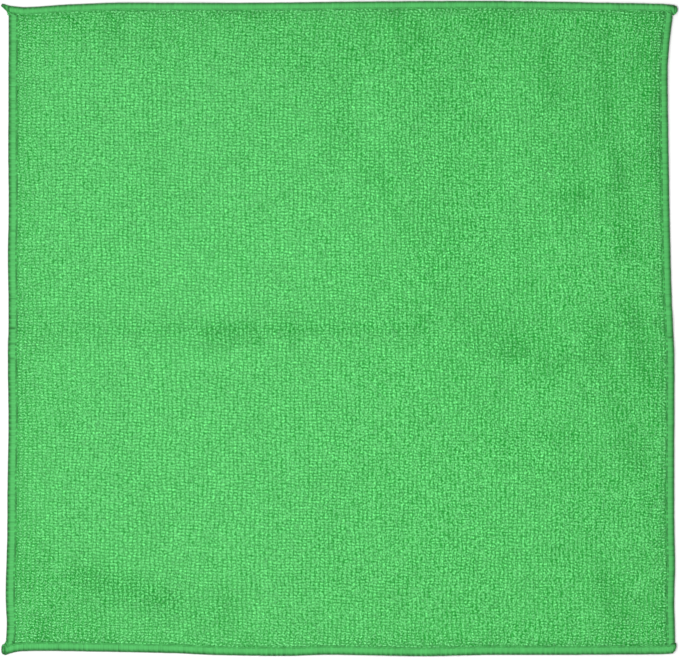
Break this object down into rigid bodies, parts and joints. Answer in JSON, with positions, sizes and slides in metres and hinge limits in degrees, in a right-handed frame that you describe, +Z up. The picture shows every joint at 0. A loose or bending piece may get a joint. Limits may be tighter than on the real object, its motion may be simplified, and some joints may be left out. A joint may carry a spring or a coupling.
{
  "type": "microfibre cloth",
  "caption": "Square looped microfibre cleaning cloth lying spread out, with an overlocked edge whose thread ends finish in knots and a short chain tail at the corners.",
  "frame": {"origin": "middle of the underside of the box round the cloth, on the surface it lies on", "axes": "+Z up out of the top face, +X across the cloth, +Y towards the edge that is at the top in the picture"},
  "size_m": [0.4056, 0.393, 0.0045],
  "materials": {
    "pile": "soft green looped microfibre pile, matt with a faint sheen on the loop tops",
    "edging_thread": "green textured overlock thread, slightly smoother than the pile"
  },
  "bodies": {
    "root": {"cloth": "pile", "edging_top": "edging_thread", "edging_right": "edging_thread", "edging_bottom": "edging_thread", "edging_left": "edging_thread"}
  },
  "joints": []
}
